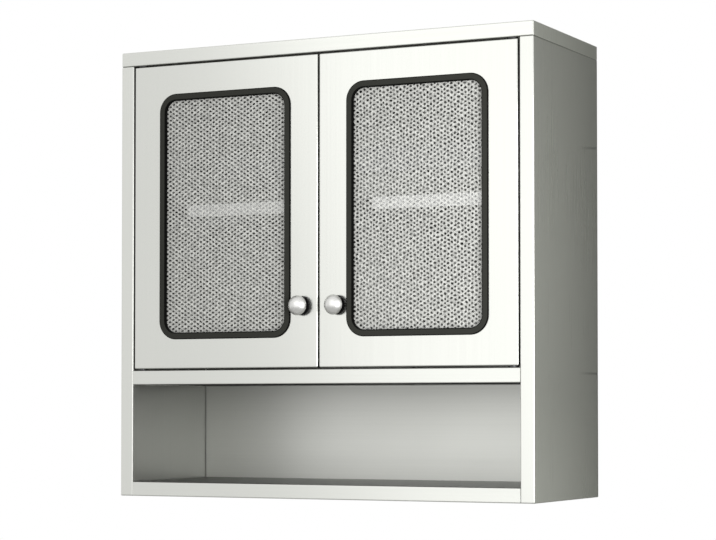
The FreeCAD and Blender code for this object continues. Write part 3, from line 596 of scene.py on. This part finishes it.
def dotted_pane(cad_node, name, seed, half, lean, stray, drift):
    """The pane as a closed mesh with dots on its front. Half is half a dot's width and height, lean how far
    dots lean in waves, stray how far they sit out of place, and drift how far the pattern wanders."""
    low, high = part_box(cad_node)
    middle = (low + high) / 2
    core_x = (high.x - low.x) / 2 - PANE_CORNER
    core_z = (high.z - low.z) / 2 - PANE_CORNER
    mesh = bmesh.new()
    clear = mesh.verts.layers.float.new("clear")
    etched = mesh.verts.layers.float.new("etched")
    wear = random.Random(seed)

    def point(x, z, rise, clearness):
        """A vertex of the front of the rolled sheet."""
        x, z = wandered(x, z, drift)
        made = mesh.verts.new((middle.x + x, low.y + DOT_RELIEF * (1 - rise), middle.z + z))
        made[clear] = clearness
        made[etched] = wear.random()
        return made

    def ring(x, z, offsets, rise, clearness):
        return [point(x + dx, z + dz, rise, clearness) for dx, dz in offsets]

    turns = [2 * math.pi * i / DOT_SIDES for i in range(DOT_SIDES)]
    cell = dot_cell()
    columns = math.ceil((core_x + PANE_CORNER) / DOT_COLUMN) + 1
    rows = math.ceil((core_z + PANE_CORNER) / DOT_ROW) + 1
    for column in range(-columns, columns + 1):
        for row in range(-rows, rows + 1):
            x_cell = column * DOT_COLUMN
            z_cell = (row + 0.5 * (column % 2)) * DOT_ROW
            x = x_cell + wear.uniform(-stray, stray)
            z = z_cell + wear.uniform(-stray, stray)
            size = 1.0 + wear.uniform(-DOT_SIZE_SPREAD, DOT_SIZE_SPREAD)
            wave = math.sin(2 * math.pi * (x / DOT_LEAN_WAVE[0] + z / DOT_LEAN_WAVE[1]))
            turned = lean * wave + wear.uniform(-DOT_LEAN_SPREAD, DOT_LEAN_SPREAD)
            x_top = x + wear.uniform(-DOT_TOP_SPREAD, DOT_TOP_SPREAD)
            z_top = z + wear.uniform(-DOT_TOP_SPREAD, DOT_TOP_SPREAD)
            clearness = wear.uniform(DOT_CLEAR_LOW, 1.0)
            rim = oval_rim(turns, [size * reach for reach in half], turned)
            shoulder = [(dx * DOT_SHOULDER, dz * DOT_SHOULDER) for dx, dz in rim]
            top = point(x_top, z_top, 1.0, clearness)
            rings = [
                ring(x_top, z_top, shoulder, DOT_SHOULDER_RISE, clearness),
                ring(x, z, rim, 0.0, 0.0),
                ring(x_cell, z_cell, cell, 0.0, 0.0)]
            for i in range(DOT_SIDES):
                after = (i + 1) % DOT_SIDES
                mesh.faces.new((top, rings[0][i], rings[0][after]))
                for inner, outer in zip(rings, rings[1:]):
                    mesh.faces.new((inner[i], outer[i], outer[after], inner[after]))
    bmesh.ops.remove_doubles(mesh, verts=mesh.verts, dist=WELD_DISTANCE)
    cut_to_outline(mesh, middle, core_x, core_z)
    bmesh.ops.dissolve_degenerate(mesh, edges=mesh.edges, dist=WELD_DISTANCE)
    for face in mesh.faces:
        face.smooth = True
    close_back(mesh, clear, high.y)
    data = bpy.data.meshes.new(name)
    mesh.to_mesh(data)
    mesh.free()
    pane = bpy.data.objects.new(name, data)
    bpy.context.scene.collection.objects.link(pane)
    return pane


def dotted_glass_finish():
    """Unevenly etched white ground that hides, with clear dots that show what is behind, and a faint
    painted shade of near black on the dots.
    """
    finish, tree, shader = new_finish("dotted glass", IOR=GLASS_IOR)
    clear = put(tree, "Attribute", attribute_name="clear").outputs["Fac"]
    etched = put(tree, "Attribute", attribute_name="etched").outputs["Fac"]
    ground = put(tree, "Mix", {"Factor": etched, "A": GROUND_GREY, "B": GROUND_WHITE}, data_type="RGBA")
    hiding = put(tree, "MapRange", {
        "Value": etched, "To Min": GROUND_ALPHA_LOW, "To Max": GROUND_ALPHA_HIGH})
    colour = put(
        tree, "Mix", {"Factor": clear, "A": ground.outputs["Result"], "B": DOT_SHADE_COLOUR}, data_type="RGBA")
    rough = put(tree, "MapRange", {"Value": clear, "To Min": GROUND_ROUGH, "To Max": DOT_ROUGH})
    alpha = put(tree, "MapRange", {"Value": clear, "To Min": hiding.outputs[0], "To Max": DOT_ALPHA})
    tree.links.new(colour.outputs["Result"], shader.inputs["Base Color"])
    tree.links.new(rough.outputs[0], shader.inputs["Roughness"])
    tree.links.new(alpha.outputs[0], shader.inputs["Alpha"])
    return finish


dotted_glass = dotted_glass_finish()
for side in ("left", "right"):
    pane = dotted_pane(side + "_window_glass", side + "_dotted_pane", **DOT_CUTS[side])
    pane.data.materials.append(dotted_glass)
    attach(pane, side + "_door")
    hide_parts(side + "_window_glass")


# Knobs: turned from stainless bar with a polished dome, and painted black behind the rim as its shade. Each
# is on a screw that passes through the door and a spacer tube, so that tightening it doesn't crush the
# hollow door.

KNOB_LIGHT = (0.75, 0.75, 0.73, 1.0)
KNOB_DARK = (0.66, 0.66, 0.64, 1.0)
TURNING_SCALE = 900.0
TURNING_DETAIL = 2.0
KNOB_SMOOTH = 0.36
KNOB_ROUGH = 0.42
KNOB_RIM_AT = 0.0093         # the rim, in front of the door's face
# painted shade: black behind the rim
KNOB_SHADE_BLACK = (0.004, 0.004, 0.004, 1.0)
KNOB_BLACK_ROUGH = 0.8
KNOB_BLACK_SHINE = 0.03


def turned_finish():
    """Polished steel with faint marks left by the lathe in front of the rim, painted black behind it as its
    shade.
    """
    finish, tree, shader = new_finish("turned steel", Specular_IOR_Level=KNOB_BLACK_SHINE)
    place = put(tree, "TexCoord").outputs["Object"]
    marks = put(tree, "TexNoise", {"Vector": place, "Scale": TURNING_SCALE, "Detail": TURNING_DETAIL})
    bright = put(
        tree, "Mix", {"Factor": marks.outputs["Fac"], "A": KNOB_DARK, "B": KNOB_LIGHT}, data_type="RGBA")
    rim_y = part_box("right_door_pan")[0].y - KNOB_RIM_AT
    depth = put(tree, "SeparateXYZ", {0: place})
    shaded_rear = put(tree, "Math", {0: depth.outputs["Y"], 1: rim_y}, operation="GREATER_THAN")
    colour = put(
        tree, "Mix", {"Factor": shaded_rear.outputs[0], "A": bright.outputs["Result"], "B": KNOB_SHADE_BLACK},
        data_type="RGBA")
    polish = put(tree, "MapRange", {
        "Value": marks.outputs["Fac"], "To Min": KNOB_ROUGH, "To Max": KNOB_SMOOTH})
    rough = put(tree, "MapRange", {
        "Value": shaded_rear.outputs[0], "To Min": polish.outputs[0], "To Max": KNOB_BLACK_ROUGH})
    metal = put(tree, "Math", {0: 1.0, 1: shaded_rear.outputs[0]}, operation="SUBTRACT")
    tree.links.new(colour.outputs["Result"], shader.inputs["Base Color"])
    tree.links.new(rough.outputs[0], shader.inputs["Roughness"])
    tree.links.new(metal.outputs[0], shader.inputs["Metallic"])
    return finish


turned_steel = turned_finish()
for side in ("left", "right"):
    dress(turned_steel, side + "_knob")
    dress(zinc, side + "_knob_screw", side + "_knob_spacer")


# Pivot pins and blocks: zinc-plated steel pins pressed into steel blocks, an upper and a lower one on each
# door. The blocks are welded inside the door's hinge corners.

for side in ("left", "right"):
    dress(zinc, side + "_pivot_pins", side + "_pivot_blocks")


# Catch: a moulded body screwed under the header lip, holding two ferrite magnets that draw a strike
# plate on each door.

CATCH_LIGHT = (0.66, 0.66, 0.64, 1.0)
CATCH_DARK = (0.58, 0.58, 0.56, 1.0)
CATCH_GRAIN_SCALE = 1200.0
CATCH_BUMP = 0.00004
CATCH_ROUGH = 0.55
FERRITE_LIGHT = (0.055, 0.055, 0.06, 1.0)
FERRITE_DARK = (0.03, 0.03, 0.034, 1.0)
FERRITE_ROUGH = 0.6

catch_plastic = moulded_finish(
    "catch plastic", CATCH_DARK, CATCH_LIGHT, CATCH_GRAIN_SCALE, CATCH_BUMP, Roughness=CATCH_ROUGH)
ferrite = moulded_finish(
    "ferrite", FERRITE_DARK, FERRITE_LIGHT, CATCH_GRAIN_SCALE, CATCH_BUMP, Roughness=FERRITE_ROUGH)
dress(catch_plastic, "catch_body")
dress(ferrite, "catch_magnets")
dress(zinc, "catch_screws")
for side in ("left", "right"):
    dress(zinc, side + "_strike_plate", side + "_strike_screw")


# Floor: a plain pale disc that is part of the studio. The cabinet hangs on a wall, so the floor lies
# well below it.

FLOOR_DROP = 1.35            # floor below the foot of the cabinet
FLOOR_RADIUS = 7.0
FLOOR_SIDES = 96
FLOOR_LIGHT = (0.86, 0.86, 0.85, 1.0)
FLOOR_DARK = (0.83, 0.83, 0.82, 1.0)
FLOOR_BUMP = 0.0             # it is smooth
FLOOR_ROUGH = 0.8
FLOOR_GLOW = 0.4             # a little light of its own, because the lamps stand far above it

floor_mesh = bmesh.new()
bmesh.ops.create_circle(floor_mesh, cap_ends=True, segments=FLOOR_SIDES, radius=FLOOR_RADIUS)
floor_data = bpy.data.meshes.new("floor")
floor_mesh.to_mesh(floor_data)
floor_mesh.free()
floor = bpy.data.objects.new("floor", floor_data)
floor.location.z = cad_low.z - FLOOR_DROP
floor.data.materials.append(moulded_finish(
    "pale floor", FLOOR_DARK, FLOOR_LIGHT, CLOUD_SCALE, FLOOR_BUMP, Roughness=FLOOR_ROUGH,
    Emission_Color=FLOOR_LIGHT, Emission_Strength=FLOOR_GLOW))
bpy.context.scene.collection.objects.link(floor)


# Light: a white room seen by camera, metal and glass, and a softer fill on the rest. A large soft lamp
# stands in front and a smaller one at the front right. A grey flag to the right of the cabinet, just
# behind the plane of the wall, darkens what the right side mirrors.

ROOM_WHITE = (1.0, 1.0, 1.0, 1.0)
ROOM_LEVEL = 1.0
FILL_LEVEL = 0.22
FLAG_NEAR = 0.302            # the flag's edges, to the right of the cabinet's middle
FLAG_FAR = 1.7
FLAG_BEHIND = 0.012          # behind the plane of the wall
FLAG_ROUGH = 0.9
FLAG_HALF_HEIGHT = 1.1
FLAG_LIGHT = (0.47, 0.478, 0.448, 1.0)
# painted shade on the card next to the cabinet
FLAG_DARK = (0.13, 0.1325, 0.1225, 1.0)
FLAG_SHADE_END = 0.18        # the share of the flag's width over which its painted shade fades
FLAG_FOOT_FROM = -0.20       # from this height down it is painted lighter too
FLAG_FOOT_TO = -0.38
FLAG_FOOT_PAINTED_LIGHT = 1.5
LAMPS = (                    # name, place, width and height, power, and roll about the way it points
    ("front_lamp", (-0.055, -1.3, 0.2), (1.05, 1.5), 3.15, math.radians(10)),
    ("right_lamp", (0.85, -0.75, -0.05), (0.6, 0.6), 6.6, 0.0),
)

world = bpy.data.worlds.new("studio")
world.use_nodes = True
studio = world.node_tree
studio.nodes.clear()
ray = put(studio, "LightPath")
seen = ray.outputs["Is Camera Ray"]
for kind in ("Is Glossy Ray", "Is Transmission Ray"):
    seen = put(studio, "Math", {0: seen, 1: ray.outputs[kind]}, operation="MAXIMUM").outputs[0]
white = put(studio, "Background", {"Color": ROOM_WHITE, "Strength": ROOM_LEVEL})
fill = put(studio, "Background", {"Color": ROOM_WHITE, "Strength": FILL_LEVEL})
room = put(studio, "MixShader", {0: seen, 1: fill.outputs[0], 2: white.outputs[0]})
put(studio, "OutputWorld", {"Surface": room.outputs[0]})
bpy.context.scene.world = world

for name, place, size, power, roll in LAMPS:
    lamp_data = bpy.data.lights.new(name, "AREA")
    lamp_data.shape = "RECTANGLE"
    lamp_data.size, lamp_data.size_y = size
    lamp_data.energy = power
    lamp = bpy.data.objects.new(name, lamp_data)
    lamp.location = place
    aim = (-lamp.location).to_track_quat("-Z", "Y")
    lamp.rotation_euler = (aim @ Quaternion((0.0, 0.0, 1.0), roll)).to_euler()
    lamp.visible_camera = False
    bpy.context.scene.collection.objects.link(lamp)


def flag_finish():
    """Grey card, with painted shade next to the cabinet and painted light at its foot."""
    finish, tree, shader = new_finish("grey flag", Roughness=FLAG_ROUGH)
    where = put(tree, "TexCoord")
    across = put(tree, "SeparateXYZ", {0: where.outputs["Generated"]})
    shade = put(tree, "MapRange", {"Value": across.outputs["X"], "From Max": FLAG_SHADE_END})
    colour = put(
        tree, "Mix", {"Factor": shade.outputs[0], "A": FLAG_DARK, "B": FLAG_LIGHT}, data_type="RGBA")
    height = put(tree, "SeparateXYZ", {0: where.outputs["Object"]})
    foot = put(tree, "MapRange", {
        "Value": height.outputs["Z"], "From Min": FLAG_FOOT_FROM, "From Max": FLAG_FOOT_TO})
    lifted = toned(tree, colour.outputs["Result"], foot.outputs[0], FLAG_FOOT_PAINTED_LIGHT)
    tree.links.new(lifted, shader.inputs["Base Color"])
    return finish


flag_data = bpy.data.meshes.new("flag")
flag_corners = [
    (FLAG_NEAR, FLAG_BEHIND, -FLAG_HALF_HEIGHT), (FLAG_FAR, FLAG_BEHIND, -FLAG_HALF_HEIGHT),
    (FLAG_FAR, FLAG_BEHIND, FLAG_HALF_HEIGHT), (FLAG_NEAR, FLAG_BEHIND, FLAG_HALF_HEIGHT)]
flag_data.from_pydata(flag_corners, [], [(0, 1, 2, 3)])
flag = bpy.data.objects.new("flag", flag_data)
flag.data.materials.append(flag_finish())
flag.visible_camera = False
bpy.context.scene.collection.objects.link(flag)


# Camera: in front and to the right of the cabinet, a little below its middle and looking slightly up.
# Its frame is moved up rather than tilted further, which keeps uprights nearly parallel.

PICTURE_WIDTH = 716
SENSOR_WIDTH = 36.0
FOCAL_PIXELS = 2231.4
CAMERA_PLACE = (1.3185, -2.8003, -0.2215)
CAMERA_YAW = math.radians(26.137)
CAMERA_PITCH = math.radians(1.760)
CAMERA_RISE_PIXELS = 70.0    # the frame is moved up by this much

camera_data = bpy.data.cameras.new("camera")
camera_data.sensor_fit = "HORIZONTAL"
camera_data.sensor_width = SENSOR_WIDTH
camera_data.lens = FOCAL_PIXELS / PICTURE_WIDTH * SENSOR_WIDTH
camera_data.shift_y = CAMERA_RISE_PIXELS / PICTURE_WIDTH
camera = bpy.data.objects.new("camera", camera_data)
camera.location = CAMERA_PLACE
camera.rotation_euler = (math.pi / 2 + CAMERA_PITCH, 0.0, CAMERA_YAW)
bpy.context.scene.collection.objects.link(camera)
bpy.context.scene.camera = camera
bpy.context.scene.view_settings.view_transform = "Standard"

bpy.context.view_layer.update()
